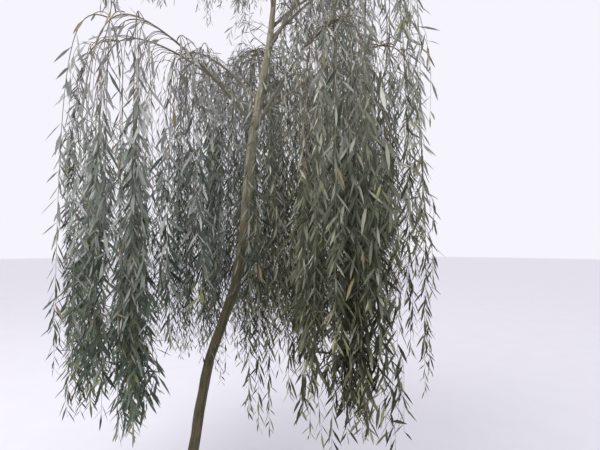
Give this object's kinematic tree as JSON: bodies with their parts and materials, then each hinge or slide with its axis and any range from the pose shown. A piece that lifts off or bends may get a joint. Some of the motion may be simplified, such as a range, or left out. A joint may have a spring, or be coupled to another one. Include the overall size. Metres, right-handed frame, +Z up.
{
  "type": "weeping willow tree",
  "caption": "Young weeping willow with a slender leaning trunk, arching boughs in tiers and long curtains of hanging narrow-leaved shoots",
  "frame": {"origin": "middle of the trunk's flat cut at ground level", "axes": "+Z up; +X to the right and +Y to the back as one faces the tree from the side the picture shows"},
  "size_m": [2.0436, 2.0268, 4.0441],
  "materials": {
    "trunk_bark": "matt young bark",
    "bough_bark": "smooth young bark",
    "foliage": "matt dusty leaves"
  },
  "bodies": {
    "root": {"trunk": "trunk_bark", "bough_high_left_1": "bough_bark", "bough_high_left_2": "bough_bark", "bough_high_left_3": "bough_bark", "bough_high_left_4": "bough_bark", "bough_high_right_1": "bough_bark", "bough_high_right_2": "bough_bark", "bough_high_right_3": "bough_bark", "bough_high_right_4": "bough_bark", "bough_low_left_1": "bough_bark", "bough_low_left_2": "bough_bark", "bough_low_left_3": "bough_bark", "bough_low_left_4": "bough_bark", "bough_low_right_1": "bough_bark", "bough_low_right_2": "bough_bark", "bough_low_right_3": "bough_bark", "bough_low_right_4": "bough_bark", "bough_mid_right_1": "bough_bark", "bough_mid_right_2": "bough_bark", "bough_mid_right_3": "bough_bark", "foliage_high_left_1": "foliage", "foliage_high_left_2": "foliage", "foliage_high_left_3": "foliage", "foliage_high_left_4": "foliage", "foliage_high_right_1": "foliage", "foliage_high_right_2": "foliage", "foliage_high_right_3": "foliage", "foliage_high_right_4": "foliage", "foliage_leader": "foliage", "foliage_low_left_1": "foliage", "foliage_low_left_2": "foliage", "foliage_low_left_3": "foliage", "foliage_low_left_4": "foliage", "foliage_low_right_1": "foliage", "foliage_low_right_2": "foliage", "foliage_low_right_3": "foliage", "foliage_low_right_4": "foliage", "foliage_mid_right_1": "foliage", "foliage_mid_right_2": "foliage", "foliage_mid_right_3": "foliage"}
  },
  "joints": []
}
